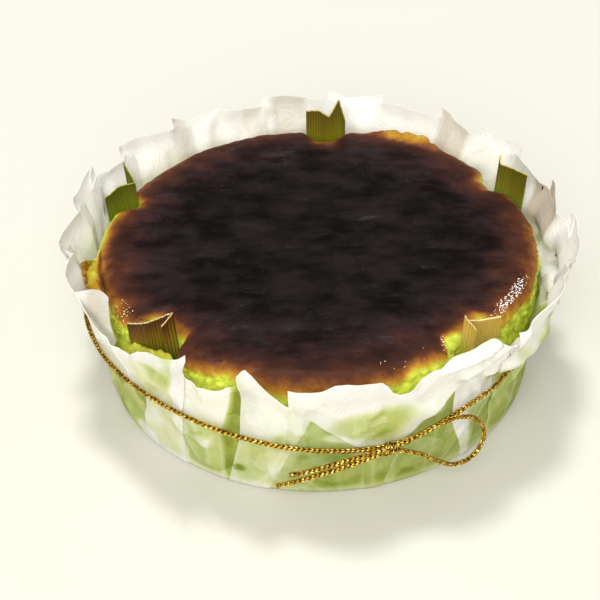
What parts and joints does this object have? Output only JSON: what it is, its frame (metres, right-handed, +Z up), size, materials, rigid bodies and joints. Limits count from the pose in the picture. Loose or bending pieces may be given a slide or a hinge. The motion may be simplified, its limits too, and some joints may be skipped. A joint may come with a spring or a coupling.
{
  "type": "basque cheesecake",
  "caption": "Round burnt-top green cheesecake in a pleated baking-paper wrap, with folded leaf ends standing round its rim and a gold cord tied in a bow.",
  "frame": {"origin": "middle of the flat underside of the paper wrap, on the surface that the cake stands on", "axes": "+Z up along the cake's axis, -Y towards the side with the bow, +X to the right of the bow"},
  "size_m": [0.1848, 0.1837, 0.0645],
  "materials": {
    "crust": "satin",
    "baking_paper": "satin",
    "leaf": "satin",
    "gold_cord": "satin"
  },
  "bodies": {
    "root": {"cake": "crust", "paper_case": "baking_paper", "leaf_1": "leaf", "leaf_2": "leaf", "leaf_3": "leaf", "leaf_4": "leaf", "leaf_5": "leaf", "cord_ring": "gold_cord", "bow_knot": "gold_cord", "bow_loop": "gold_cord", "bow_tail_long": "gold_cord", "bow_tail_short": "gold_cord"}
  },
  "joints": []
}
